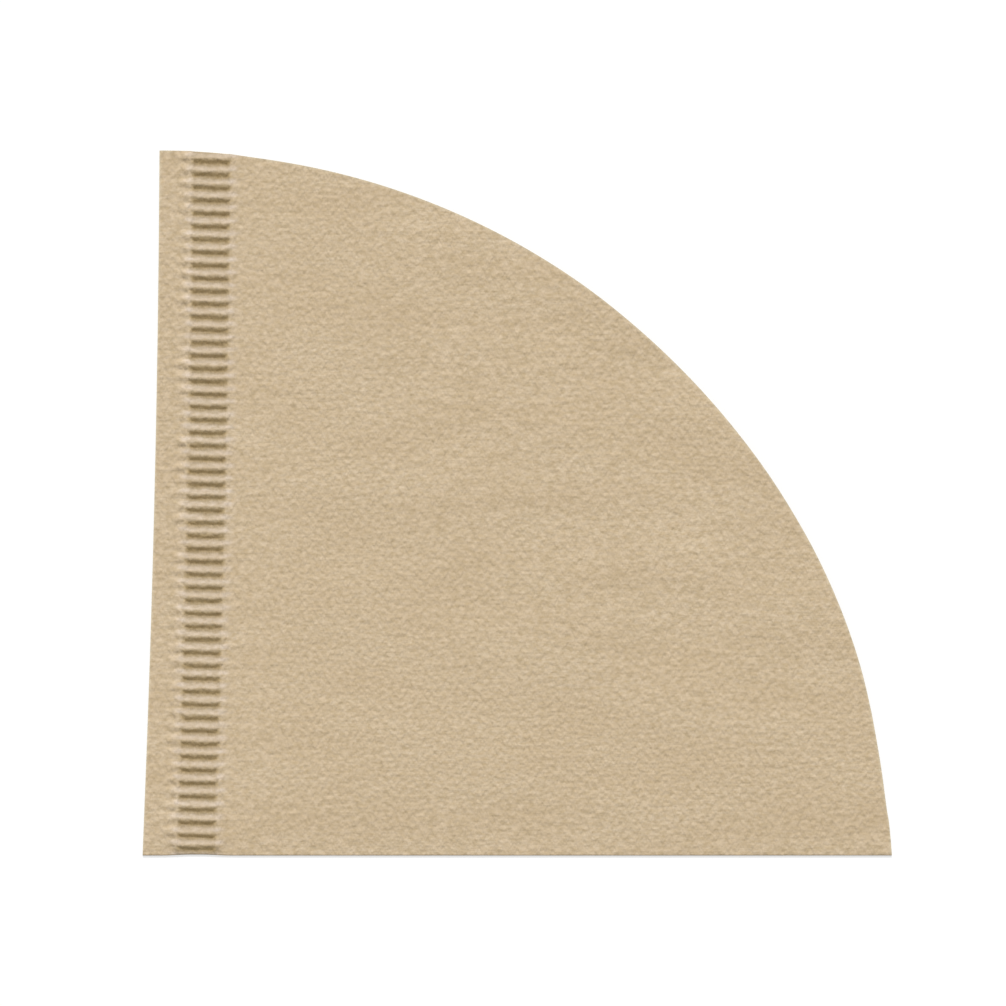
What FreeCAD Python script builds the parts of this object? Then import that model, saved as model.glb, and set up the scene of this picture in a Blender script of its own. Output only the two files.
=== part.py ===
# Cone paper coffee filter, folded flat as it leaves its pack.
#
# One piece of paper. It is folded in half along the front edge, its two straight edges are crimped
# together along the left, and the curved rim is cut through both plies at once. The fold and the
# crimp meet at the tip. Opened at the rim, the paper becomes a cone of about 60 degrees.
#
# Frame, in millimetres: the filter lies on its lower ply. +X runs along the fold away from the crimp,
# +Y from the fold towards the rim, +Z up through the plies. The origin is on the underside, at the
# centre of the rectangle that the filter fills. The features are drawn from the left end of the fold,
# and the body's placement moves them to that origin.

import FreeCAD, Part
import Sketcher
import os

Vector = FreeCAD.Vector

# Driving dimensions in millimetres and degrees: name, value, what it measures.
SIZES = [
    ("ply", 0.24, "thickness of the crepe paper"),
    ("rim_radius", 144.2, "radius of the rim's cut"),
    ("rim_centre_in", 4.6, "centre of the rim's cut, in from the left end of the fold"),
    ("rim_centre_below", 4.4, "centre of the rim's cut, in front of the fold"),
    ("seam_lean", 1.4, "lean of the seam from a right angle with the fold"),
    ("tab_width", 6.4, "free paper between the left cut edge and the crimp"),
    ("crimp_width", 8.0, "width of the crimped band"),
    ("bonded_land", 0.3, "bonded paper each side of the crimped band"),
    ("crest_first", 2.0, "first crest of the crimp, from the fold"),
    ("crest_pitch", 2.58, "spacing of the crests along the seam"),
    ("crest_base", 1.5, "width of a crest at its foot"),
    ("crest_top", 0.34, "width of a crest at its top"),
    ("crest_height", 0.56, "height of a crest above the plies"),
    ("crest_end_run", 0.9, "length over which a crest rises at each end"),
    ("mouth_gap", 1.7, "how far the plies part mid-way across, one rim radius from the tip"),
    ("tab_gap", 0.25, "how far the plies of the tab part at their cut edge"),
]

RIM_SQUARE = "sqrt(Sizes.rim_radius ^ 2 - Sizes.rim_centre_below ^ 2)"
FILTER_WIDTH = f"(Sizes.rim_centre_in + {RIM_SQUARE})"
FILTER_DEPTH = "(Sizes.rim_radius - Sizes.rim_centre_below)"
LEAN = "(Sizes.seam_lean * 1deg)"

# What the die takes off is drawn to a number of rim radii: the lenses of air between the plies reach
# past the cut line, the blank past the lenses and the die past the blank.
LENS_RADII = 1.5
BLANK_RADII = 1.7
DIE_RADII = 2
LENS_REACH = f"({LENS_RADII} * Sizes.rim_radius)"
BLANK_REACH = f"({BLANK_RADII} * Sizes.rim_radius)"
DIE_REACH = f"({DIE_RADII} * Sizes.rim_radius)"

UNTURNED = "rotation(0; 0; 0)"


def make_sheet(doc):
    """The spreadsheet that holds the driving dimensions."""
    sheet = doc.addObject("Spreadsheet::Sheet", "Sizes")
    for row, (name, size, meaning) in enumerate(SIZES, start=1):
        sheet.set(f"A{row}", meaning)
        sheet.set(f"B{row}", str(size))
        sheet.setAlias(f"B{row}", name)
    doc.recompute()


def value(doc, expression):
    """The number that an expression on the sheet gives."""
    found = doc.Sizes.evalExpression(expression)
    return float(getattr(found, "Value", found))


def place(x, y, z, rotation=UNTURNED):
    """A placement, written as an expression, from the expressions of its three lengths."""
    return f"placement(vector(({x}) * 1mm; ({y}) * 1mm; ({z}) * 1mm); {rotation})"


def origin_plane(body, role):
    """One of the body's own three planes."""
    return [feature for feature in body.Origin.OriginFeatures if feature.Role == role][0]


def add_sketch(body, name, plane, placement):
    """A sketch on one of the body's own planes, moved from it by a placement."""
    sketch = body.newObject("Sketcher::SketchObject", name)
    sketch.AttachmentSupport = [(origin_plane(body, plane), "")]
    sketch.MapMode = "FlatFace"
    sketch.setExpression("AttachmentOffset", placement)
    return sketch


def hold(sketch, kind, *where):
    """A constraint without a number."""
    sketch.addConstraint(Sketcher.Constraint(kind, *where))


def bind(sketch, kind, *where, size):
    """A constraint whose number follows an expression on the sheet."""
    number = value(sketch.Document, size)
    index = sketch.addConstraint(Sketcher.Constraint(kind, *where, number))
    sketch.setExpression(f"Constraints[{index}]", size)


def add_folded_blank(body):
    """Both plies and the fold between them, still uncut, with a full round along the fold."""
    doc = body.Document
    ply, depth = value(doc, "Sizes.ply"), value(doc, BLANK_REACH)
    section = add_sketch(body, "FoldSection", "YZ_Plane", place("0", "0", f"-{BLANK_REACH}"))
    line, arc = Part.LineSegment, Part.Arc
    low = section.addGeometry(line(Vector(ply, 0), Vector(depth, 0)))
    back = section.addGeometry(line(Vector(depth, 0), Vector(depth, 2 * ply)))
    top = section.addGeometry(line(Vector(depth, 2 * ply), Vector(ply, 2 * ply)))
    fold = section.addGeometry(arc(Vector(ply, 2 * ply), Vector(0, ply), Vector(ply, 0)))
    hold(section, "Coincident", low, 2, back, 1)
    hold(section, "Coincident", back, 2, top, 1)
    hold(section, "Tangent", top, 2, fold, 1)
    hold(section, "Tangent", low, 1, fold, 2)
    hold(section, "PointOnObject", low, 1, -1)
    hold(section, "Horizontal", low)
    hold(section, "Vertical", back)
    hold(section, "Horizontal", top)
    bind(section, "Radius", fold, size="Sizes.ply")
    bind(section, "DistanceX", -1, 1, fold, 3, size="Sizes.ply")
    bind(section, "DistanceX", -1, 1, low, 2, size=BLANK_REACH)
    blank = body.newObject("PartDesign::Pad", "FoldedBlank")
    blank.Profile = section
    blank.setExpression("Length", f"2 * {BLANK_REACH}")
    doc.recompute()


def add_lens(body, name, kind, corner, side, rise, floor):
    """A thin lens of air, flat below and bowed above, between the fold and the seam. It grows from a
    corner on the fold, and its ruled faces run out of that corner as bent paper does. Half-way round
    its outer end it is as high as its rise. The side is 1 to the right of the seam and -1 to the left.
    """
    doc = body.Document
    foot_x = f"({corner} + {side} * {LENS_REACH})"
    across = f"({corner} + {LENS_REACH} * sin({LEAN}) - {foot_x})"
    along = f"({LENS_REACH} * cos({LEAN}))"
    chord = f"sqrt({across} ^ 2 + {along} ^ 2)"
    tip = add_sketch(body, f"{name}Corner", "XY_Plane", place(corner, "Sizes.ply", floor))
    tip.addGeometry(Part.Point(Vector(0, 0, 0)))
    hold(tip, "Coincident", 0, 1, -1, 1)

    upright = f"rotation(atan2({along}; {across}); 0deg; 90deg)"
    bow = add_sketch(body, f"{name}Bow", "XY_Plane", place(foot_x, "Sizes.ply", floor, upright))
    length, height = value(doc, chord), value(doc, rise)
    start, crown, end = Vector(0, 0), Vector(length / 2, height), Vector(length, 0)
    base = bow.addGeometry(Part.LineSegment(start, end))
    arch = bow.addGeometry(Part.Arc(end, crown, start))
    hold(bow, "Coincident", base, 1, -1, 1)
    hold(bow, "Horizontal", base)
    hold(bow, "Coincident", arch, 2, base, 1)
    hold(bow, "Coincident", arch, 1, base, 2)
    bind(bow, "DistanceX", base, 1, base, 2, size=chord)
    bind(bow, "Radius", arch, size=f"({chord} ^ 2 / 4 + ({rise}) ^ 2) / (2 * ({rise}))")
    doc.recompute()

    lens = body.newObject(kind, name)
    lens.Profile = bow
    lens.Sections = [(tip, ["Vertex1"])]
    lens.Ruled = True
    doc.recompute()


def part_plies(body, name, corner, side, rise):
    """Parts the upper ply from the lower one by a lens of air, with the ply above it as thick as
    before: the lens is added on top and taken out between the plies."""
    add_lens(body, f"{name}Lift", "PartDesign::AdditiveLoft", corner, side, rise, "2 * Sizes.ply")
    add_lens(body, f"{name}Air", "PartDesign::SubtractiveLoft", corner, side, rise, "Sizes.ply")


def draw_rectangle(sketch, left, front, right, back):
    """A rectangle whose four sides follow expressions, each measured from the sketch's origin."""
    x0, y0, x1, y1 = (value(sketch.Document, side) for side in (left, front, right, back))
    corners = [Vector(x0, y0), Vector(x1, y0), Vector(x1, y1), Vector(x0, y1)]
    sides = []
    for start, end in zip(corners, corners[1:] + corners[:1]):
        sides.append(sketch.addGeometry(Part.LineSegment(start, end)))
    for side, following in zip(sides, sides[1:] + sides[:1]):
        hold(sketch, "Coincident", side, 2, following, 1)
    for side, kind in zip(sides, ("Horizontal", "Vertical", "Horizontal", "Vertical")):
        hold(sketch, kind, side)
    front_side, _, back_side, _ = sides
    bind(sketch, "DistanceX", -1, 1, front_side, 1, size=left)
    bind(sketch, "DistanceY", -1, 1, front_side, 1, size=front)
    bind(sketch, "DistanceX", -1, 1, back_side, 1, size=right)
    bind(sketch, "DistanceY", -1, 1, back_side, 1, size=back)


def add_ridge(body, name, kind, foot):
    """The crest nearest the fold, or the hollow pressed up under it: a hipped ridge across the seam,
    from the height of its foot. Its Y runs upwards, and its placement is the same for both."""
    ridge = body.newObject(kind, name)
    ridge.AttachmentSupport = [(origin_plane(body, "XY_Plane"), "")]
    ridge.MapMode = "FlatFace"
    across, along = (f"Sizes.crest_first * {turn}({LEAN})" for turn in ("sin", "cos"))
    upright = f"rotation(-{LEAN}; 0deg; 90deg)"
    ridge.setExpression("AttachmentOffset", place(across, along, "0", upright))
    band_right = "Sizes.tab_width + Sizes.crimp_width"
    for side, size in (
        ("Xmin", "Sizes.tab_width"),
        ("Xmax", band_right),
        ("Ymin", foot),
        ("Ymax", f"{foot} + Sizes.crest_height"),
        ("Zmin", "-Sizes.crest_base / 2"),
        ("Zmax", "Sizes.crest_base / 2"),
        ("X2min", "Sizes.tab_width + Sizes.crest_end_run"),
        ("X2max", f"{band_right} - Sizes.crest_end_run"),
        ("Z2min", "-Sizes.crest_top / 2"),
        ("Z2max", "Sizes.crest_top / 2"),
    ):
        ridge.setExpression(side, f"({size}) * 1mm")
    body.Document.recompute()
    return ridge


def add_crimp(body):
    """The crests all along the seam, from the fold to the rim, with the hollow under each."""
    crest = add_ridge(body, "Crest", "PartDesign::AdditiveWedge", "2 * Sizes.ply")
    hollow = add_ridge(body, "Hollow", "PartDesign::SubtractiveWedge", "0")
    seam = add_sketch(body, "Seam", "XY_Plane", place("0", "0", "0", f"rotation(-{LEAN}; 0deg; 0deg)"))
    crimp = body.newObject("PartDesign::LinearPattern", "Crimp")
    crimp.Originals = [crest, hollow]
    crimp.Direction = (seam, ["V_Axis"])
    crimp.Mode = "Spacing"
    room = f"({FILTER_DEPTH} - Sizes.crest_first - Sizes.crest_base / 2)"
    crimp.setExpression("Offset", "Sizes.crest_pitch")
    crimp.setExpression("Occurrences", f"floor({room} / Sizes.crest_pitch) + 1")
    body.Tip = crimp
    body.Document.recompute()


def draw_cut_line(sketch):
    """The filter's outline: the left cut edge, the rim's arc and, clear of the fold, a line in front of
    it through the arc's centre."""
    doc = sketch.Document
    depth, radius = value(doc, FILTER_DEPTH), value(doc, "Sizes.rim_radius")
    slope = value(doc, f"tan({LEAN})")
    centre = Vector(value(doc, "Sizes.rim_centre_in"), -value(doc, "Sizes.rim_centre_below"))
    front_left = centre.y * Vector(slope, 1)
    front_right = centre + Vector(radius, 0)
    rim_left = Vector(depth * slope, depth)
    circle = Part.Circle(centre, Vector(0, 0, 1), radius)
    rim_start, rim_end = circle.parameter(front_right), circle.parameter(rim_left)
    front = sketch.addGeometry(Part.LineSegment(front_left, front_right))
    left = sketch.addGeometry(Part.LineSegment(front_left, rim_left))
    rim = sketch.addGeometry(Part.ArcOfCircle(circle, rim_start, rim_end))
    hold(sketch, "Coincident", front, 1, left, 1)
    hold(sketch, "Coincident", front, 2, rim, 1)
    hold(sketch, "Coincident", left, 2, rim, 2)
    hold(sketch, "Horizontal", front)
    hold(sketch, "PointOnObject", -1, 1, left)
    bind(sketch, "DistanceY", front, 1, -1, 1, size="Sizes.rim_centre_below")
    bind(sketch, "Angle", left, size=f"90deg - {LEAN}")
    bind(sketch, "DistanceX", -1, 1, rim, 3, size="Sizes.rim_centre_in")
    bind(sketch, "DistanceY", rim, 3, -1, 1, size="Sizes.rim_centre_below")
    bind(sketch, "Radius", rim, size="Sizes.rim_radius")


def add_die_cut(body):
    """The cut through both plies at once: all that lies outside the outline is waste."""
    die = add_sketch(body, "CutLine", "XY_Plane", place("0", "0", "0"))
    draw_rectangle(die, f"-{DIE_REACH}", f"-{DIE_REACH}", DIE_REACH, DIE_REACH)
    draw_cut_line(die)
    body.Document.recompute()
    cut = body.newObject("PartDesign::Pocket", "DieCut")
    cut.Profile = die
    cut.Type = "ThroughAll"
    cut.Reversed = True
    body.Document.recompute()


def check(doc):
    """Stops the build if a feature failed, a cut took nothing away or a body isn't one solid."""
    failed = []
    for item in doc.Objects:
        if "Invalid" in item.State or "Error" in item.State:
            failed.append(item.Name)
    if failed:
        raise RuntimeError(f"these features failed: {failed}")
    for item in doc.Objects:
        base = getattr(item, "BaseFeature", None)
        if base is None or item.TypeId == "PartDesign::Body":
            continue
        change = item.Shape.Volume - base.Shape.Volume
        removes = item.TypeId == "PartDesign::Pocket" or "Subtractive" in item.TypeId
        adds = "Additive" in item.TypeId
        if (removes and change >= 0) or (adds and change <= 0):
            raise RuntimeError(f"{item.Name} changed the volume by {change:.3f} mm3")
    for body in doc.findObjects("PartDesign::Body"):
        shape = body.Shape
        if shape.isNull() or not shape.isValid() or len(shape.Solids) != 1:
            raise RuntimeError(f"{body.Label} isn't one valid solid")


def build():
    doc = FreeCAD.newDocument("coffee_filter")
    make_sheet(doc)
    paper = doc.addObject("PartDesign::Body", "FilterPaper")
    paper.Label = "filter_paper"
    add_folded_blank(paper)

    # The pocket that opens into the cone: its corner, on the fold beside the crimp, is the cone's tip.
    tip = "(Sizes.tab_width + Sizes.crimp_width + Sizes.bonded_land)"
    half_corner = f"(90deg - {LEAN}) / 2"
    mouth_rise = f"Sizes.mouth_gap * {LENS_RADII} * cos({half_corner})"
    part_plies(paper, "Mouth", tip, 1, mouth_rise)

    # The two plies of the tab outside the crimp, which stand a little apart at their cut edge. Beside
    # the seam the lens rises at 4 * rise / (reach * cos(lean)) to 1, and the tab is narrow.
    tab_corner = "(Sizes.tab_width - Sizes.bonded_land)"
    tab_rise = f"Sizes.tab_gap * {LENS_REACH} * cos({LEAN}) / (4 * {tab_corner})"
    part_plies(paper, "Tab", tab_corner, -1, tab_rise)

    add_crimp(paper)
    add_die_cut(paper)
    paper.setExpression("Placement", place(f"-{FILTER_WIDTH} / 2", f"-{FILTER_DEPTH} / 2", "0"))
    doc.recompute()
    return doc


def main():
    doc = build()
    check(doc)
    os.makedirs("parts", exist_ok=True)
    for body in doc.findObjects("PartDesign::Body"):
        body.Shape.exportStep(f"parts/{body.Label}.step")
        box = body.Shape.optimalBoundingBox()
        print(f"{body.Label}: {box.XLength:.2f} x {box.YLength:.2f} x {box.ZLength:.2f} mm")
        print(f"{len(body.Shape.Faces)} faces, {body.Shape.Volume:.1f} mm3")


main()
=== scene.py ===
import math
import random
import bpy
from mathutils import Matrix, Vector
from mathutils.geometry import delaunay_2d_cdt


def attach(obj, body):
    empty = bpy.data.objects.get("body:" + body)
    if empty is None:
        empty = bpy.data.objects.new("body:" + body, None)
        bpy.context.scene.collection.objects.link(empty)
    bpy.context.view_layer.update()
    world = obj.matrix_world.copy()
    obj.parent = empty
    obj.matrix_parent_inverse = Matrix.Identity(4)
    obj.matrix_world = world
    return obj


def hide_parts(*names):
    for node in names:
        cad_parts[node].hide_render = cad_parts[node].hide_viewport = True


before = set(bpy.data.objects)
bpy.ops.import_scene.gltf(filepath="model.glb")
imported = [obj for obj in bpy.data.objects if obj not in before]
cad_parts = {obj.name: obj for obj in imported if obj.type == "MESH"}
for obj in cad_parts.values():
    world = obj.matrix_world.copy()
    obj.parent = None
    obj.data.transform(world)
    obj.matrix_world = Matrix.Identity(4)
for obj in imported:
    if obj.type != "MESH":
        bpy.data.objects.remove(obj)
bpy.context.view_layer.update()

# The camera looks straight down on the filter, as the photograph does. Its frame is 200 mm wide at the
# filter, which lies a little right of the frame's middle.
CAMERA_HEIGHT = 0.5561
eye = bpy.data.cameras.new("overhead camera")
eye.lens = 100
eye.sensor_width = 36
camera = bpy.data.objects.new("overhead camera", eye)
camera.location = (-0.0027, 0.00022, CAMERA_HEIGHT)
bpy.context.scene.collection.objects.link(camera)
bpy.context.scene.camera = camera

# The filter is one sheet of unbleached crepe paper, folded in half along the front. Toothed rollers crimp
# its two straight edges together along the left, and a die cuts the curved rim through both plies. It is
# drawn flat in millimetres from the left end of the fold. The node tree then parts and crimps the plies.
PLY = 0.24
LEAN = math.radians(1.4)
RIM_RADIUS = 144.2
RIM_CENTRE = Vector((4.6, -4.4))
FOLD_WIDTH = RIM_CENTRE.x + math.sqrt(RIM_RADIUS ** 2 - RIM_CENTRE.y ** 2)
DEPTH = RIM_RADIUS + RIM_CENTRE.y
TAB_WIDTH = 6.4
CRIMP_WIDTH = 8.0
BONDED_LAND = 0.3
CREST_FIRST = 2.0
CREST_SPACING = 2.58
CREST_COUNT = 54
ALONG_SEAM = Vector((math.sin(LEAN), math.cos(LEAN)))
ACROSS_SEAM = Vector((math.cos(LEAN), -math.sin(LEAN)))

# The distances across the seam, from the left cut edge, between which the plies are bonded to each other.
BOND_LEFT = Vector((TAB_WIDTH - BONDED_LAND, PLY)).dot(ACROSS_SEAM)
BOND_RIGHT = Vector((TAB_WIDTH + CRIMP_WIDTH + BONDED_LAND, PLY)).dot(ACROSS_SEAM)

# How far points inside a face stay clear of the fold and of the rim, as the outline has points of its own
# there. One row lies just behind the fold, so that the flat face isn't shaded by the fold's round.
CLEAR_OF_FOLD = 0.22
CLEAR_OF_RIM = 0.12
BEHIND_FOLD = 0.1

# The points and faces of the sheet. Each point also has a mark for the upper ply and one for a cut edge,
# which carries a painted highlight.
points, upper_ply, edge_highlight, faces, sharp = [], [], [], [], set()
dice = random.Random(11)


def put(x, y, z, is_upper, is_cut=0.0):
    """Adds a point of the flat sheet, on the upper ply or the lower one, and gives its number."""
    points.append((x, y, z))
    upper_ply.append(float(is_upper))
    edge_highlight.append(is_cut)
    return len(points) - 1


def rim_point(across):
    """The point of the rim at a distance across the seam from the left cut edge."""
    start = ACROSS_SEAM * across - RIM_CENTRE
    reach = start.dot(ALONG_SEAM)
    to_rim = math.sqrt(reach ** 2 - start.length_squared + RIM_RADIUS ** 2) - reach
    return RIM_CENTRE + start + ALONG_SEAM * to_rim


def steps(start, end, longest):
    """Numbers from start to end, both among them, in equal steps no longer than the longest."""
    count = math.ceil(abs(end - start) / longest)
    return [start + (end - start) * i / count for i in range(count + 1)]


def scatter(z, is_upper, spacing, low, high):
    """Points in staggered rows over the part of the sheet between two distances across the seam, each a
    little off its place and clear of the outline."""
    off_place, clear = 0.16 * spacing, 0.45 * spacing
    found, row, y = [], 0, PLY
    while y < DEPTH:
        x = spacing * (row % 2) / 2
        while x < FOLD_WIDTH:
            spot = Vector((x, y)) + off_place * Vector((dice.uniform(-1, 1), dice.uniform(-1, 1)))
            if low + clear < spot.dot(ACROSS_SEAM) < high - clear and spot.y > PLY + clear:
                if (spot - RIM_CENTRE).length < RIM_RADIUS - clear:
                    found.append(put(spot.x, spot.y, z, is_upper))
            x += spacing
        row, y = row + 1, y + spacing * math.sqrt(0.75)
    return found


def crimp_columns(count):
    """Distances across the seam for a number of equal columns over the bond, and for as many more of them
    beside it as the crimp's puckers need."""
    width = (BOND_RIGHT - BOND_LEFT) / count
    left, right = math.ceil(CRIMP_LEFT_RUN / width), math.ceil(CRIMP_RIGHT_RUN / width)
    return [BOND_LEFT + width * i for i in range(-left, count + right + 1)]


def crimp_grid(z, is_upper, column_count, rows_a_crest):
    """Points in straight rows and columns over the crimp, close enough to carry its crests."""
    found = []
    for row in range(-rows_a_crest, (CREST_COUNT + 1) * rows_a_crest):
        along = CREST_FIRST + CREST_SPACING * row / rows_a_crest
        for across in crimp_columns(column_count):
            spot = ACROSS_SEAM * across + ALONG_SEAM * along
            if spot.y > PLY + CLEAR_OF_FOLD and (spot - RIM_CENTRE).length < RIM_RADIUS - CLEAR_OF_RIM:
                found.append(put(spot.x, spot.y, z, is_upper))
    return found


def fill(outline, inside, faces_up):
    """Triangles that join the points inside an outline to each other and to it."""
    numbers = outline + inside
    flat = [Vector(points[number][:2]) for number in numbers]
    rim = [(i, (i + 1) % len(outline)) for i in range(len(outline))]
    _, _, triangles, _, _, _ = delaunay_2d_cdt(flat, rim, [], 1, 1e-6)
    for a, b, c in triangles:
        turn = (flat[b] - flat[a]).cross(flat[c] - flat[a])
        corners = (a, b, c) if (turn > 0) == faces_up else (a, c, b)
        faces.append([numbers[corner] for corner in corners])


# Where the outline has points: along the fold, round the rim from right to left, and down the left edge.
COARSE = 0.85
CRIMP_LEFT_RUN, CRIMP_RIGHT_RUN = 2.9, 1.9
COLUMNS = 19
columns = crimp_columns(COLUMNS)
fold_left = PLY * math.tan(LEAN)
fold_right = RIM_CENTRE.x + math.sqrt(RIM_RADIUS ** 2 - (PLY - RIM_CENTRE.y) ** 2)
fold_at = [(across + PLY * math.sin(LEAN)) / math.cos(LEAN) for across in columns]
fold_at = steps(fold_left, fold_at[0], COARSE)[:-1] + fold_at + steps(fold_at[-1], fold_right, COARSE)[1:]

turns = [math.atan2(*reversed(Vector((fold_right, PLY)) - RIM_CENTRE))]
for across in reversed([0] + columns):
    turns.append(math.atan2(*reversed(rim_point(across) - RIM_CENTRE)))
turn_step = COARSE / RIM_RADIUS
turns = steps(turns[0], turns[1], turn_step) + turns[2:-1] + steps(turns[-2], turns[-1], turn_step)[1:]
rim = [RIM_CENTRE + RIM_RADIUS * Vector((math.cos(turn), math.sin(turn))) for turn in turns]
left_edge = [Vector((y * math.tan(LEAN), y)) for y in steps(rim[-1].y, PLY, COARSE)[1:]]

# The cut edges are a wall each side of the gap between the plies. Where the plies are bonded, and at both
# ends of the fold, the two walls share their points.
cut = rim + left_edge
top, under_upper, over_lower, bottom, bonded = [], [], [], [], []
for i, spot in enumerate(cut):
    top.append(put(*spot, 2 * PLY, 1, 1.0))
    across = spot.dot(ACROSS_SEAM)
    on_bond = i < len(rim) and BOND_LEFT - 0.01 < across < BOND_RIGHT + 0.01
    under_upper.append(put(*spot, PLY, 1, 1.0))
    if on_bond:
        bonded.append(i)
    if on_bond or i in (0, len(cut) - 1):
        over_lower.append(under_upper[-1])
    else:
        over_lower.append(put(*spot, PLY, 0, 1.0))
    bottom.append(put(*spot, 0.0, 0, 1.0))
for i in range(len(cut) - 1):
    faces.append((under_upper[i], under_upper[i + 1], top[i + 1], top[i]))
    faces.append((bottom[i], bottom[i + 1], over_lower[i + 1], over_lower[i]))
    for wall in (top, under_upper, over_lower, bottom):
        sharp.add(frozenset((wall[i], wall[i + 1])))

# The fold is a full round about the line where the plies meet inside it.
ROUND_STEPS = 7
rows = []
for step in range(ROUND_STEPS + 1):
    turn = math.pi * step / ROUND_STEPS
    y, z = PLY - PLY * math.sin(turn), PLY + PLY * math.cos(turn)
    if step in (0, ROUND_STEPS):
        ring = top if step == 0 else bottom
        rows.append([ring[-1]] + [put(x, y, z, step == 0) for x in fold_at[1:-1]] + [ring[0]])
    else:
        rows.append([put(x, y, z, 0) for x in fold_at])
for high, low in zip(rows, rows[1:]):
    for i in range(len(fold_at) - 1):
        faces.append((low[i], low[i + 1], high[i + 1], high[i]))
    faces.append((under_upper[-1], low[0], high[0]))
    faces.append((under_upper[0], high[-1], low[-1]))
    sharp.update((frozenset((high[0], low[0])), frozenset((high[-1], low[-1]))))

# The outer faces of the two plies, fine over the crimp and coarser beside it.
grid_low, grid_high = columns[0], columns[-1]
for wall, row, z, is_upper, column_count, rows_a_crest, spacing in (
    (top, rows[0], 2 * PLY, 1, COLUMNS, 15, 0.8),
    (bottom, rows[-1], 0.0, 0, 13, 11, 1.15),
):
    inside = [put(x, PLY + BEHIND_FOLD, z, is_upper) for x in fold_at[1:-1]]
    inside += crimp_grid(z, is_upper, column_count, rows_a_crest)
    inside += scatter(z, is_upper, spacing, 0, grid_low)
    inside += scatter(z, is_upper, spacing, grid_high, FOLD_WIDTH)
    fill(row + wall[1:-1], inside, is_upper == 1)

# The faces inside the pocket and inside the tab. Each pair shares its points along the fold and the bond.
INNER_SPACING = 2.6
first_bond, last_bond = bonded[0], bonded[-1]
for bond_at, bond_end, near, far, low, high in (
    (BOND_RIGHT, first_bond, 0, first_bond, BOND_RIGHT, FOLD_WIDTH),
    (BOND_LEFT, last_bond, last_bond, len(cut) - 1, 0, BOND_LEFT),
):
    corner_x = (bond_at + PLY * math.sin(LEAN)) / math.cos(LEAN)
    fold_end = cut[0] if near == 0 else cut[-1]
    along_fold = [put(x, PLY, PLY, 0) for x in steps(corner_x, fold_end.x, INNER_SPACING)[:-1]]
    bond_start, bond_stop = Vector((corner_x, PLY)), cut[bond_end]
    along_bond = [
        put(*bond_start.lerp(bond_stop, share), PLY, 0)
        for share in steps(0, 1, INNER_SPACING / (bond_stop - bond_start).length)[1:-1]
    ]
    for wall, is_upper in ((under_upper, 1), (over_lower, 0)):
        if near == 0:
            outline = along_fold + wall[near:far + 1] + along_bond[::-1]
        else:
            outline = [wall[-1]] + along_fold[::-1] + along_bond + wall[near:far]
        fill(outline, scatter(PLY, is_upper, INNER_SPACING, low, high), is_upper == 0)
    for line in (along_fold, [along_fold[0]] + along_bond):
        sharp.update(frozenset(pair) for pair in zip(line, line[1:]))

flat_sheet = bpy.data.meshes.new("folded sheet")
flat_sheet.from_pydata(points, [], faces)
for name, kind, domain, values in (
    ("upper_ply", "FLOAT", "POINT", upper_ply),
    ("cut_edge", "FLOAT", "POINT", edge_highlight),
    ("sharp_edge", "BOOLEAN", "EDGE", [frozenset(edge.vertices) in sharp for edge in flat_sheet.edges]),
):
    flat_sheet.attributes.new(name, kind, domain).data.foreach_set("value", values)
flat_sheet.shade_smooth()
paper = bpy.data.objects.new("crimped_paper", flat_sheet)
bpy.context.scene.collection.objects.link(paper)


def add_node(tree, kind, inputs=(), **settings):
    """Adds a node with its settings. An input is a number, a socket, or a node for its first output."""
    node = tree.nodes.new(kind)
    for name, setting in settings.items():
        setattr(node, name, setting)
    for key, source in inputs.items() if isinstance(inputs, dict) else enumerate(inputs):
        source = source.outputs[0] if isinstance(source, bpy.types.Node) else source
        if isinstance(source, bpy.types.NodeSocket):
            tree.links.new(source, node.inputs[key])
        else:
            node.inputs[key].default_value = source
    return node


def linear(colour):
    """An sRGB hex colour as linear RGBA."""
    parts = [int(colour[i:i + 2], 16) / 255 for i in (1, 3, 5)]
    return [part / 12.92 if part <= 0.04045 else ((part + 0.055) / 1.055) ** 2.4 for part in parts] + [1.0]


# Unbleached kraft filter paper, creped on the paper machine. It is matt and soft. Its crepe is a fine relief
# of blobs about a millimetre wide, with a few long lines along the fold, its long fibres cloud the tan with
# paler and darker bands, and its grain makes specks of about the crepe's size. The crimp's pressed paper
# tones it, and painted shade and highlight on the crimp and a painted highlight on the cut edges tone it too.
kraft = bpy.data.materials.new("unbleached creped kraft paper")
kraft.use_nodes = True
shade = kraft.node_tree
shade.nodes.clear()
MATH, VECTOR = "ShaderNodeMath", "ShaderNodeVectorMath"
RANGE, NOISE = "ShaderNodeMapRange", "ShaderNodeTexNoise"
place = add_node(shade, "ShaderNodeTexCoord").outputs["Object"]
in_mm = add_node(shade, "ShaderNodeMapping", {"Vector": place, "Scale": (1000, 1000, 1000)})

# How many blobs of each pattern go to a millimetre, along X, Y and Z.
CREPE, CREPE_LINES = (1.36, 0.77, 1.0), (0.12, 1.3, 1.0)
CLOUDS, FIBRES, GRAIN = (0.04, 0.12, 0.1), (0.9, 2.6, 1.5), (0.87, 1.35, 1.0)
CREPE_HEIGHT = 0.0003       # in metres, which is what a bump's distance is given in
crepe_place = add_node(shade, VECTOR, (in_mm, CREPE), operation="MULTIPLY")
crepe = add_node(shade, NOISE, {"Vector": crepe_place, "Scale": 1.0, "Detail": 1.1, "Roughness": 0.5})
line_place = add_node(shade, VECTOR, (in_mm, CREPE_LINES), operation="MULTIPLY")
crepe_line = add_node(shade, NOISE, {"Vector": line_place, "Scale": 1.0, "Detail": 1.0, "Roughness": 0.5})
lined_crepe = add_node(shade, MATH, (crepe_line, 0.22, crepe), operation="MULTIPLY_ADD")
relief = add_node(shade, "ShaderNodeBump", {
    "Strength": 1.0, "Distance": CREPE_HEIGHT, "Height": lined_crepe})

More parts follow.
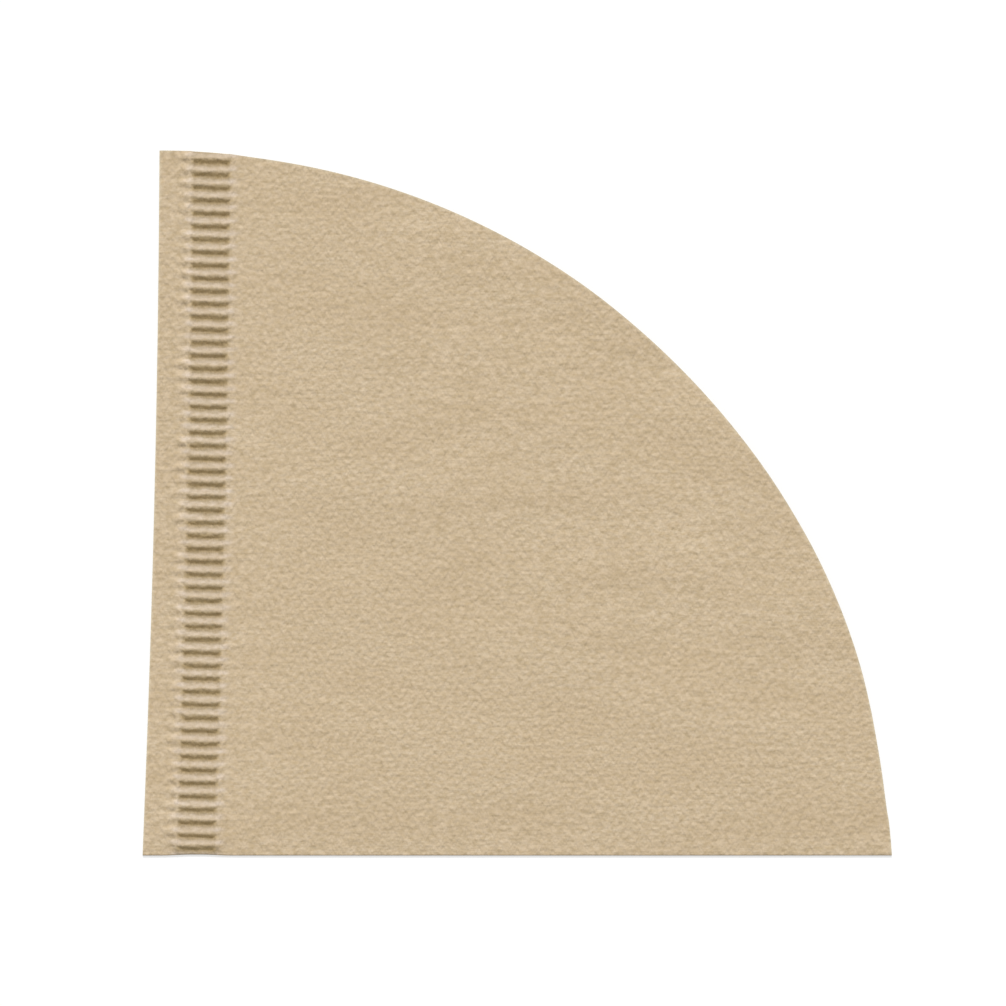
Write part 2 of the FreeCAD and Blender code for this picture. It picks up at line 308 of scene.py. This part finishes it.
cloud_place = add_node(shade, VECTOR, (in_mm, CLOUDS), operation="MULTIPLY")
cloud = add_node(shade, NOISE, {"Vector": cloud_place, "Scale": 1.0, "Detail": 2.0, "Roughness": 0.5})
cloud_share = add_node(shade, RANGE, (cloud, 0.3, 0.7, 0.0, 1.0))
fibre_place = add_node(shade, VECTOR, (in_mm, FIBRES), operation="MULTIPLY")
fibre = add_node(shade, NOISE, {"Vector": fibre_place, "Scale": 1.0, "Detail": 1.5, "Distortion": 0.8})
fibre_share = add_node(shade, RANGE, (fibre, 0.3, 0.7, 0.0, 1.0))
clouded = add_node(shade, "ShaderNodeMix", {0: cloud_share, 6: linear("#CAB596"), 7: linear("#D2BFA2")},
                   data_type="RGBA")
fibred = add_node(shade, "ShaderNodeMix", {0: fibre_share, 6: linear("#C8B291"), 7: clouded.outputs[2]},
                  data_type="RGBA")

# The grain, the pressed paper with its painted shade and highlight, and the painted shade and highlight on
# the crest walls each change red, green and blue by their own share.
GRAIN_TINT = (0.09, 0.1, 0.14)
PRESSED_AND_PAINTED_LIGHT_TINT = (-0.225, -0.235, -0.275)
PAINTED_SHADE_HIGHLIGHT_TINT = (-0.02, -0.07, -0.25)
UNCHANGED = (1.0, 1.0, 1.0)
grain_place = add_node(shade, VECTOR, (in_mm, GRAIN), operation="MULTIPLY")
grain = add_node(shade, NOISE, {"Vector": grain_place, "Scale": 1.0, "Detail": 1.0, "Roughness": 0.5})
grain_off = add_node(shade, RANGE, (grain, 0.3, 0.7, -1.0, 1.0))
grain_tint = add_node(shade, VECTOR, (grain_off, GRAIN_TINT, UNCHANGED), operation="MULTIPLY_ADD")
grained = add_node(shade, VECTOR, (fibred.outputs[2], grain_tint), operation="MULTIPLY")
# Pressed paper, darker over the band and most in the trays, partly painted shade in the trays' recesses;
# paler round the trays' ends as painted highlight.
pressed_and_painted_light = add_node(shade, "ShaderNodeAttribute", attribute_name="pressed_and_painted_light").outputs["Fac"]
pressed_and_painted_light_tint = add_node(shade, VECTOR, (pressed_and_painted_light, PRESSED_AND_PAINTED_LIGHT_TINT, UNCHANGED), operation="MULTIPLY_ADD")
# Painted shade and highlight from the tree: browner on crest walls facing away from the lamp, paler on those
# facing it.
painted_shade_highlight = add_node(shade, "ShaderNodeAttribute", attribute_name="painted_shade_highlight").outputs["Fac"]
painted_shade_highlight_tint = add_node(shade, VECTOR, (painted_shade_highlight, PAINTED_SHADE_HIGHLIGHT_TINT, UNCHANGED), operation="MULTIPLY_ADD")
painted_light_paper = add_node(shade, VECTOR, (grained, painted_shade_highlight_tint), operation="MULTIPLY")
crimped = add_node(shade, VECTOR, (painted_light_paper, pressed_and_painted_light_tint), operation="MULTIPLY")

# Painted highlight: the cut edges are painted paler, as if they caught the light.
edge = add_node(shade, "ShaderNodeAttribute", attribute_name="cut_edge").outputs["Fac"]
edge_highlight_share = add_node(shade, RANGE, (edge, 0.3, 1.0, 0.0, 0.6))
tan = add_node(shade, "ShaderNodeMix", {0: edge_highlight_share, 6: crimped, 7: linear("#DDCFB2")},
               data_type="RGBA")
surface = add_node(shade, "ShaderNodeBsdfPrincipled", {
    "Base Color": tan.outputs[2], "Roughness": 0.93, "Specular IOR Level": 0.2, "Normal": relief})
add_node(shade, "ShaderNodeOutputMaterial", (surface,))

# The tree that parts the plies and presses the crimp. All its lengths are in millimetres until its last
# step, which moves the sheet to the model's frame in metres. Each crest lies between two pressed trays.
MOUTH_GAP = 1.7
TAB_GAP = 0.25
TRAY_OVERLAP = 0.4       # the trays reach so much further over the bonded land, both sides taken together
press = bpy.data.node_groups.new("part and crimp the plies", "GeometryNodeTree")
press.interface.new_socket("Sheet", in_out="OUTPUT", socket_type="NodeSocketGeometry")
press.interface.new_socket("Flat sheet", in_out="INPUT", socket_type="NodeSocketGeometry")
press_sizes = {
    "Seam lean": LEAN,
    "Crimp start": TAB_WIDTH - BONDED_LAND,
    "Crimp width": CRIMP_WIDTH + TRAY_OVERLAP,
    "Front shift": 0.35,
    "Front shift run": 45.0,
    "First crest": CREST_FIRST,
    "Crest spacing": CREST_SPACING,
    "Crest height": 0.6,
    "Crest flat": 0.1,
    "Rim wall": 1.3,
    "Fold wall": 0.84,
    "Crest wave": 0.5,
    "Crest bend": 0.12,
    "Bend start": 2.6,
    "Bend end": 4.9,
    "Crest shift": 0.39,
    "Crest drift": 0.24,
    "Drift turn": 5.7,
    "Drift start": -0.43,
    # Where up each tray the painted shade on the crest wall is darkest, as a share of the tray.
    "Painted shade at": 0.72,
    "Tray shuffle": 0.2,
    "Fold corner": 1.2,
    "Rim corner": 0.35,
    "Left pucker": 3.4,
    "Right pucker": 1.25,
    "Left pucker rise": 0.66,
    "Right pucker rise": 0.42,
    "Left fall": 6.0,
    "Right fall": 5.0,
    "Fall rise": 0.45,
    "Held run in band": 1.4,
    "Held run beside": 5.0,
    "Bond left": BOND_LEFT,
    "Bond right": BOND_RIGHT,
    "Ply": PLY,
    "Mouth rise": 4 * MOUTH_GAP * math.cos((math.pi / 2 - LEAN) / 2) / RIM_RADIUS,
    "Tab rise": TAB_GAP / (TAB_WIDTH - BONDED_LAND),
    "Slack": 0.2,
    "Slack run from fold": 12.0,
    "Slack run from band": 6.0,
    "Seam bow": 0.65,
    "Bow start": 16.0,
    "Bow end": 70.0,
    "Fold pull": 0.2,
    "Fold pull run": 5.0,
    "Depth": DEPTH,
    "Rim radius": RIM_RADIUS,
    "Rim centre x": RIM_CENTRE.x,
    "Rim centre y": RIM_CENTRE.y,
}
sockets = {}
for name in press_sizes:
    sockets[name] = press.interface.new_socket(name, in_out="INPUT", socket_type="NodeSocketFloat")
sockets["Seed"] = press.interface.new_socket("Seed", in_out="INPUT", socket_type="NodeSocketInt")
sockets["Paper"] = press.interface.new_socket("Paper", in_out="INPUT", socket_type="NodeSocketMaterial")
given = add_node(press, "NodeGroupInput").outputs
here = add_node(press, "GeometryNodeInputPosition")

# The die's cut wanders up to 0.4 mm off its arc, furthest at the seam. The curve runs from 0 at the fold
# round the rim to 1 at the seam, and a height of 0.5 is no wander.
WANDER_AT_FOLD, WANDER_AT_SEAM = (0.0, 0.95), (1.0, 0.88)
WANDER_BETWEEN = ((0.05, 0.5), (0.09, 0.17), (0.15, 0.38), (0.24, 0.68), (0.35, 0.47), (0.52, 0.2),
                  (0.62, 0.36), (0.9, 0.5), (0.95, 0.75))
rim_centre = add_node(press, "ShaderNodeCombineXYZ", (given["Rim centre x"], given["Rim centre y"]))
off_centre = add_node(press, VECTOR, (here, rim_centre), operation="SUBTRACT")
outward = add_node(press, VECTOR, (off_centre, (1, 1, 0)), operation="MULTIPLY")
out_x, out_y = add_node(press, "ShaderNodeSeparateXYZ", (outward,)).outputs[:2]
rim_turn = add_node(press, MATH, (out_y, out_x), operation="ARCTAN2")
round_rim = add_node(press, RANGE, (rim_turn, 0.0, math.pi / 2, 0.0, 1.0))
wander = add_node(press, "ShaderNodeFloatCurve", (1.0, round_rim))
bends = wander.mapping.curves[0].points
bends[0].location, bends[1].location = WANDER_AT_FOLD, WANDER_AT_SEAM
for turn, height in WANDER_BETWEEN:
    bends.new(turn, height)
wander.mapping.update()
wander_size = add_node(press, MATH, (wander, 0.5), operation="SUBTRACT")
rim_reach = add_node(press, VECTOR, (outward,), operation="LENGTH").outputs["Value"]
near_rim_start = add_node(press, MATH, (given["Rim radius"], 0.7), operation="MULTIPLY")
near_rim = add_node(press, RANGE, (rim_reach, near_rim_start, given["Rim radius"], 0.0, 1.0),
                    interpolation_type="SMOOTHSTEP")
rim_size = add_node(press, MATH, (wander_size, near_rim), operation="MULTIPLY")
straight_out = add_node(press, VECTOR, (outward,), operation="NORMALIZE")
rim_move = add_node(press, VECTOR, {0: straight_out, "Scale": rim_size}, operation="SCALE")
cut_place = add_node(press, VECTOR, (here, rim_move), operation="ADD")

seam_place = add_node(press, "ShaderNodeVectorRotate", {"Vector": cut_place, "Angle": given["Seam lean"]},
                      rotation_type="Z_AXIS")
across, along = add_node(press, "ShaderNodeSeparateXYZ", (seam_place,)).outputs[:2]
y = add_node(press, "ShaderNodeSeparateXYZ", (cut_place,)).outputs["Y"]

# Which tray of the crimp a point is in, counted from the fold, and how far up that tray it lies. The
# rollers leave each crest a little wavy and bent towards the rim at both ends. The crests lie 0.4 mm up the
# seam from their even places, and drift a quarter of a millimetre to and fro about that. Near the fold the
# whole band lies a little to the right.
WAVES = (0.32, 0.75, 0.0)        # blobs to a millimetre across and along the seam
wave_place = add_node(press, VECTOR, (seam_place, WAVES), operation="MULTIPLY")
wave = add_node(press, NOISE, {"Vector": wave_place, "W": given["Seed"], "Scale": 1.0, "Detail": 1.0},
                noise_dimensions="4D")
wave_off = add_node(press, MATH, (wave, 0.5), operation="SUBTRACT")
wavy = add_node(press, MATH, (wave_off, given["Crest wave"], along), operation="MULTIPLY_ADD")
up_seam = add_node(press, MATH, (along, given["Depth"]), operation="DIVIDE")
drift_turn = add_node(press, MATH, (up_seam, given["Drift turn"], given["Drift start"]),
                      operation="MULTIPLY_ADD")
drift = add_node(press, MATH, (drift_turn,), operation="SINE")
drift_size = add_node(press, MATH, (drift, given["Crest drift"], given["Crest shift"]),
                      operation="MULTIPLY_ADD")
drifted = add_node(press, MATH, (wavy, drift_size), operation="SUBTRACT")
middle = add_node(press, MATH, (given["Crimp width"], 0.5, given["Crimp start"]), operation="MULTIPLY_ADD")
front_shift = add_node(press, RANGE, (along, 0.0, given["Front shift run"], given["Front shift"], 0.0))
shifted_middle = add_node(press, MATH, (middle, front_shift), operation="ADD")
from_middle = add_node(press, MATH, (across, shifted_middle), operation="SUBTRACT")
to_side = add_node(press, MATH, (from_middle,), operation="ABSOLUTE")
bend = add_node(press, RANGE, (to_side, given["Bend start"], given["Bend end"], 0.0, given["Crest bend"]),
                interpolation_type="SMOOTHSTEP")
bent = add_node(press, MATH, (drifted, bend), operation="SUBTRACT")
from_first = add_node(press, MATH, (bent, given["First crest"]), operation="SUBTRACT")
count = add_node(press, MATH, (from_first, given["Crest spacing"]), operation="DIVIDE")
tray = add_node(press, MATH, (count,), operation="FLOOR")
up_tray = add_node(press, MATH, (count,), operation="FRACT")
crest = add_node(press, MATH, (count,), operation="ROUND")
tray_dice = add_node(press, "FunctionNodeRandomValue", {2: -1.0, 3: 1.0, 7: tray, 8: given["Seed"]},
                     data_type="FLOAT").outputs[1]
crest_dice = add_node(press, "FunctionNodeRandomValue", {2: 0.3, 3: 1.4, 7: crest, 8: given["Seed"]},
                      data_type="FLOAT").outputs[1]

# Each tray is a rectangle with sloping walls, rounder at its fold side than at its rim side. How far inside
# it a point lies is measured from its outline, and gives how deep the rollers press there.
tray_across = add_node(press, MATH, (tray_dice, given["Tray shuffle"], from_middle), operation="MULTIPLY_ADD")
half_up = add_node(press, MATH, (up_tray, 0.5), operation="SUBTRACT")
tray_along = add_node(press, MATH, (half_up, given["Crest spacing"]), operation="MULTIPLY")
in_tray = add_node(press, "ShaderNodeCombineXYZ", (tray_across, tray_along))
in_quarter = add_node(press, VECTOR, (in_tray,), operation="ABSOLUTE")
half_width = add_node(press, MATH, (given["Crimp width"], 0.5), operation="MULTIPLY")
floor_run = add_node(press, MATH, (given["Crest spacing"], given["Crest flat"]), operation="SUBTRACT")
half_run = add_node(press, MATH, (floor_run, 0.5), operation="MULTIPLY")
tray_size = add_node(press, "ShaderNodeCombineXYZ", (half_width, half_run))
tray_corner = add_node(press, RANGE, (up_tray, 0.45, 0.55, given["Fold corner"], given["Rim corner"]))
straight = add_node(press, VECTOR, (tray_size, tray_corner), operation="SUBTRACT")
past = add_node(press, VECTOR, (in_quarter, straight), operation="SUBTRACT")
past_across, past_along = add_node(press, "ShaderNodeSeparateXYZ", (past,)).outputs[:2]
past_corner = add_node(press, VECTOR, (past, (0, 0, 0)), operation="MAXIMUM")
flat_corner = add_node(press, VECTOR, (past_corner, (1, 1, 0)), operation="MULTIPLY")
round_reach = add_node(press, VECTOR, (flat_corner,), operation="LENGTH").outputs["Value"]
nearest = add_node(press, MATH, (past_across, past_along), operation="MAXIMUM")
within = add_node(press, MATH, (nearest, 0.0), operation="MINIMUM")
reach = add_node(press, MATH, (round_reach, within), operation="ADD")
tray_depth = add_node(press, MATH, (tray_corner, reach), operation="SUBTRACT")
wall_run = add_node(press, RANGE, (up_tray, 0.0, 1.0, given["Fold wall"], given["Rim wall"]))
down_wall = add_node(press, RANGE, (tray_depth, 0.0, wall_run, 0.0, 1.0), interpolation_type="SMOOTHSTEP")
floor_depth = add_node(press, MATH, (tray_dice, 0.04, 0.94), operation="MULTIPLY_ADD")
sunk = add_node(press, MATH, (down_wall, floor_depth), operation="MULTIPLY")

# Beside the trays the paper falls back to the table, and the crests run out into it as short puckers. The
# creased fold holds the crimp down where the band reaches it. All rises are shares of the crest height.
beyond = add_node(press, MATH, (to_side, half_width), operation="SUBTRACT")
is_left = add_node(press, MATH, (from_middle, 0.0), operation="LESS_THAN")
fall_run = add_node(press, "ShaderNodeMix", {0: is_left, 2: given["Right fall"], 3: given["Left fall"]})
fall = add_node(press, RANGE, (beyond, 0.0, fall_run, given["Fall rise"], 0.0),
                interpolation_type="SMOOTHSTEP")
pucker_run = add_node(press, "ShaderNodeMix", {0: is_left, 2: given["Right pucker"], 3: given["Left pucker"]})
pucker_rise = add_node(press, "ShaderNodeMix", {
    0: is_left, 2: given["Right pucker rise"], 3: given["Left pucker rise"]})
pucker_fade = add_node(press, RANGE, (beyond, -0.8, pucker_run, pucker_rise, 0.0),
                       interpolation_type="SMOOTHSTEP")
turned = add_node(press, MATH, (count, 2 * math.pi), operation="MULTIPLY")
ripple = add_node(press, MATH, (turned,), operation="COSINE")
ridge = add_node(press, MATH, (ripple, 0.5, 0.5), operation="MULTIPLY_ADD")
uneven_ridge = add_node(press, MATH, (ridge, crest_dice), operation="MULTIPLY")
pucker = add_node(press, MATH, (uneven_ridge, pucker_fade), operation="MULTIPLY")
beside = add_node(press, MATH, (fall, pucker), operation="ADD")
in_band = add_node(press, RANGE, (beyond, -0.4, 0.8, 1.0, 0.0), interpolation_type="SMOOTHSTEP")
crown = add_node(press, "ShaderNodeMix", {0: in_band, 2: beside, 3: 1.0})
left_up = add_node(press, MATH, (1.0, sunk), operation="SUBTRACT")
relative = add_node(press, MATH, (crown, left_up), operation="MULTIPLY")
held_run = add_node(press, RANGE, (beyond, -0.5, 1.5, given["Held run in band"], given["Held run beside"]))
held = add_node(press, RANGE, (y, 0.0, held_run, 0.0, 1.0), interpolation_type="SMOOTHSTEP")
risen = add_node(press, MATH, (relative, held), operation="MULTIPLY")
crimp = add_node(press, MATH, (risen, given["Crest height"]), operation="MULTIPLY")

# The rollers press the whole band dense, most of all the trays, and that darkening is also painted shade in
# the trays' recesses. On the upper ply the rim side of each tray, whose wall faces away from the lamp, is
# painted browner as painted shade, and the fold side, which turns up towards the lamp, is painted paler as
# painted highlight. Round the trays' ends, where the paper bulges, a painted highlight pales it, most on the
# lamp's side of each crest. Each of these fades out within 2 mm beyond the trays' ends.
# Darker over the band and most in the sunk trays: pressed paper, and painted shade in the trays' recesses.
half_sunk = add_node(press, MATH, (sunk, 0.5, 0.5), operation="MULTIPLY_ADD")
in_trays = add_node(press, RANGE, (beyond, -0.9, 0.1, 1.0, 0.0), interpolation_type="SMOOTHSTEP")
pressed_and_shaded_trays = add_node(press, MATH, (half_sunk, in_trays), operation="MULTIPLY")
is_upper = add_node(press, "GeometryNodeInputNamedAttribute", {0: "upper_ply"}, data_type="FLOAT")
# Painted shade and highlight: a wave up each tray, browner where the wall faces away from the lamp, paler
# where it faces it.
from_painted_shade = add_node(press, MATH, (count, given["Painted shade at"]), operation="SUBTRACT")
painted_shade_turn = add_node(press, MATH, (from_painted_shade, 2 * math.pi), operation="MULTIPLY")
painted_shade_wave = add_node(press, MATH, (painted_shade_turn,), operation="COSINE")
painted_shade_part = add_node(press, MATH, (painted_shade_wave, 0.0), operation="MAXIMUM")
painted_highlight_part = add_node(press, MATH, (painted_shade_wave, 0.0), operation="MINIMUM")
painted_shade_band = add_node(press, MATH, (painted_shade_part, in_trays), operation="MULTIPLY")
painted_highlight_reach = add_node(press, RANGE, (beyond, 0.1, 1.8, 1.0, 0.0), interpolation_type="SMOOTHSTEP")
painted_shade_highlight_band = add_node(press, MATH, (painted_highlight_part, painted_highlight_reach, painted_shade_band), operation="MULTIPLY_ADD")
painted_shade_highlight_mark = add_node(press, MATH, (painted_shade_highlight_band, is_upper), operation="MULTIPLY")
# Painted highlight round the trays' ends, strongest on the side of each crest that faces the lamp.
bulge_rise = add_node(press, RANGE, (beyond, -0.9, 0.0, 0.0, 1.0), interpolation_type="SMOOTHSTEP")
bulge_fall = add_node(press, RANGE, (beyond, 0.3, 1.6, 1.0, 0.0), interpolation_type="SMOOTHSTEP")
bulge = add_node(press, MATH, (bulge_rise, bulge_fall), operation="MULTIPLY")
lit_side_share = add_node(press, MATH, (painted_shade_wave, -0.5, 0.5), operation="MULTIPLY_ADD")
painted_bulge_highlight = add_node(press, MATH, (bulge, lit_side_share), operation="MULTIPLY")
pressed_and_painted_light_mark = add_node(press, MATH, (painted_bulge_highlight, -0.3, pressed_and_shaded_trays), operation="MULTIPLY_ADD")

# The plies part from the fold and the bond like the two sides of a cone: by a * b / (a + b), where a and
# b are the distances from the bond and from the fold. The gap sags unevenly, by up to two fifths.
off_fold = add_node(press, MATH, (y, given["Ply"]), operation="SUBTRACT")
up_ply = add_node(press, MATH, (off_fold, 0.0), operation="MAXIMUM")
gaps = []
for bond, side, rise in (("Bond right", 1.0, "Mouth rise"), ("Bond left", -1.0, "Tab rise")):
    off_bond = add_node(press, MATH, (across, given[bond]), operation="SUBTRACT")
    to_bond = add_node(press, MATH, (off_bond, side), operation="MULTIPLY")
    from_bond = add_node(press, MATH, (to_bond, 0.0), operation="MAXIMUM")
    product = add_node(press, MATH, (from_bond, up_ply), operation="MULTIPLY")
    total = add_node(press, MATH, (from_bond, up_ply), operation="ADD")
    some = add_node(press, MATH, (total, 0.001), operation="MAXIMUM")
    share = add_node(press, MATH, (product, some), operation="DIVIDE")
    gaps.append(add_node(press, MATH, (share, given[rise]), operation="MULTIPLY"))
gap = add_node(press, MATH, gaps, operation="ADD")
SAGS = (0.03, 0.045, 0.0)        # blobs to a millimetre along X and Y
sag_place = add_node(press, VECTOR, (here, SAGS), operation="MULTIPLY")
sag = add_node(press, NOISE, {"Vector": sag_place, "W": given["Seed"], "Scale": 1.0, "Detail": 1.0},
               noise_dimensions="4D")
sag_share = add_node(press, RANGE, (sag, 0.25, 0.75, 0.6, 1.0))
sagged = add_node(press, MATH, (gap, sag_share), operation="MULTIPLY")
parted = add_node(press, MATH, (sagged, is_upper), operation="MULTIPLY")

# Both plies cockle together in long low bands, which die out towards the fold and the stiff crimp.
COCKLES = (0.035, 0.13, 0.0)     # blobs to a millimetre along X and Y
cockle_place = add_node(press, VECTOR, (here, COCKLES), operation="MULTIPLY")
cockle = add_node(press, NOISE, {"Vector": cockle_place, "W": given["Seed"], "Scale": 1.0, "Detail": 1.5},
                  noise_dimensions="4D")
off_front = add_node(press, RANGE, (y, 0.0, given["Slack run from fold"], 0.1, 1.0),
                     interpolation_type="SMOOTHSTEP")
off_band = add_node(press, RANGE, (beyond, 0.0, given["Slack run from band"], 0.0, 1.0),
                    interpolation_type="SMOOTHSTEP")
free = add_node(press, MATH, (off_front, off_band), operation="MULTIPLY")
cockled = add_node(press, MATH, (cockle, free), operation="MULTIPLY")
slack = add_node(press, MATH, (cockled, given["Slack"]), operation="MULTIPLY")

# The crimp draws the left edge, and the band with it, into a shallow bow, and pulls the fold in where the
# band reaches it.
down_seam = add_node(press, MATH, (1.0, up_seam), operation="SUBTRACT")
bow = add_node(press, MATH, (up_seam, down_seam), operation="MULTIPLY")
bow_size = add_node(press, MATH, (given["Seam bow"], 4.0), operation="MULTIPLY")
bow_fade = add_node(press, RANGE, (across, given["Bow start"], given["Bow end"], 1.0, 0.0),
                    interpolation_type="SMOOTHSTEP")
full_bow = add_node(press, MATH, (bow, bow_size), operation="MULTIPLY")
move_x = add_node(press, MATH, (full_bow, bow_fade), operation="MULTIPLY")
near_band = add_node(press, RANGE, (to_side, 1.0, 7.0, 1.0, 0.0), interpolation_type="SMOOTHSTEP")
near_fold = add_node(press, RANGE, (y, 0.0, given["Fold pull run"], given["Fold pull"], 0.0),
                     interpolation_type="SMOOTHSTEP")
move_y = add_node(press, MATH, (near_band, near_fold), operation="MULTIPLY")

lift = add_node(press, MATH, (crimp, parted), operation="ADD")
move_z = add_node(press, MATH, (lift, slack), operation="ADD")
move = add_node(press, "ShaderNodeCombineXYZ", (move_x, move_y, move_z))
moved = add_node(press, VECTOR, (cut_place, move), operation="ADD")
centred = add_node(press, VECTOR, (moved, (FOLD_WIDTH / 2, DEPTH / 2, 0.0)), operation="SUBTRACT")
in_metres = add_node(press, VECTOR, {0: centred, "Scale": 0.001}, operation="SCALE")

# The pressed paper with its painted shade and highlight, and the painted shade and highlight on the crest
# walls, are stored as marks before the points move, because all of the above is worked out on the flat sheet.
marked = given["Flat sheet"]
for name, mark in (("pressed_and_painted_light", pressed_and_painted_light_mark), ("painted_shade_highlight", painted_shade_highlight_mark)):
    marked = add_node(press, "GeometryNodeStoreNamedAttribute", {
        "Geometry": marked, "Name": name, "Value": mark}, data_type="FLOAT", domain="POINT")
shaped = add_node(press, "GeometryNodeSetPosition", {"Geometry": marked, "Position": in_metres})
realized = add_node(press, "GeometryNodeRealizeInstances", (shaped,))
finished = add_node(press, "GeometryNodeSetMaterial", {"Geometry": realized, "Material": given["Paper"]})
add_node(press, "NodeGroupOutput", (finished,))

modifier = paper.modifiers.new("part and crimp the plies", "NODES")
modifier.node_group = press
for name, size in {**press_sizes, "Seed": 5, "Paper": kraft}.items():
    modifier[sockets[name].identifier] = size
evaluated = paper.evaluated_get(bpy.context.evaluated_depsgraph_get())
plain = bpy.data.meshes.new_from_object(evaluated)
paper.modifiers.clear()
paper.data = plain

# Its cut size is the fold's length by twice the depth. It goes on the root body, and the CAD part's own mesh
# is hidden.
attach(paper, "root")
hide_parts("filter_paper")

# The floor is plain and white, as under the filter in the photograph, and takes the filter's shadow. A
# little light of its own, which only the eye sees and which lights nothing, brings it up to white.
FLOOR_HALF = 3.0
OWN_LIGHT = 0.58


def seen_at_all(tree):
    """One on the way to the eye, straight, mirrored or through glass, and zero for light on the object."""
    path = add_node(tree, "ShaderNodeLightPath").outputs
    seen = add_node(tree, MATH, (path["Is Camera Ray"], path["Is Glossy Ray"]), operation="MAXIMUM")
    return add_node(tree, MATH, (seen, path["Is Transmission Ray"]), operation="MAXIMUM")


floor_mesh = bpy.data.meshes.new("white floor")
floor_corners = [(-FLOOR_HALF, -FLOOR_HALF, 0), (FLOOR_HALF, -FLOOR_HALF, 0), (FLOOR_HALF, FLOOR_HALF, 0),
                 (-FLOOR_HALF, FLOOR_HALF, 0)]
floor_mesh.from_pydata(floor_corners, [], [(0, 1, 2, 3)])
floor = bpy.data.objects.new("white_floor", floor_mesh)
bpy.context.scene.collection.objects.link(floor)
white = bpy.data.materials.new("matt white card")
white.use_nodes = True
white.node_tree.nodes.clear()
own_light = add_node(white.node_tree, MATH, (seen_at_all(white.node_tree), OWN_LIGHT), operation="MULTIPLY")
card = add_node(white.node_tree, "ShaderNodeBsdfDiffuse", (linear("#B3B3B3"),))
glow = add_node(white.node_tree, "ShaderNodeEmission", ((1, 1, 1, 1), own_light))
both = add_node(white.node_tree, "ShaderNodeAddShader", (card, glow))
add_node(white.node_tree, "ShaderNodeOutputMaterial", (both,))
floor.data.materials.append(white)

# Plain light: a soft lamp from behind the rim, at the height that shades the crests as in the photograph,
# and an even white surround. Together they light a flat surface at strength 1.
SURROUND = 0.43
LAMP_ELEVATION = math.radians(38)
lamp = bpy.data.lights.new("soft lamp", "SUN")
lamp.energy = (1 - SURROUND) * math.pi / math.sin(LAMP_ELEVATION)
lamp.angle = math.radians(15)
lamp_object = bpy.data.objects.new("soft lamp", lamp)
lamp_object.rotation_euler = (LAMP_ELEVATION - math.pi / 2, 0, 0)
bpy.context.scene.collection.objects.link(lamp_object)

world = bpy.data.worlds.new("white surround")
world.use_nodes = True
world.node_tree.nodes.clear()
strength = add_node(world.node_tree, RANGE, (seen_at_all(world.node_tree), 0.0, 1.0, SURROUND, 1.0))
surround = add_node(world.node_tree, "ShaderNodeBackground", ((1, 1, 1, 1), strength))
add_node(world.node_tree, "ShaderNodeOutputWorld", (surround,))
bpy.context.scene.world = world
bpy.context.scene.view_settings.view_transform = "Standard"
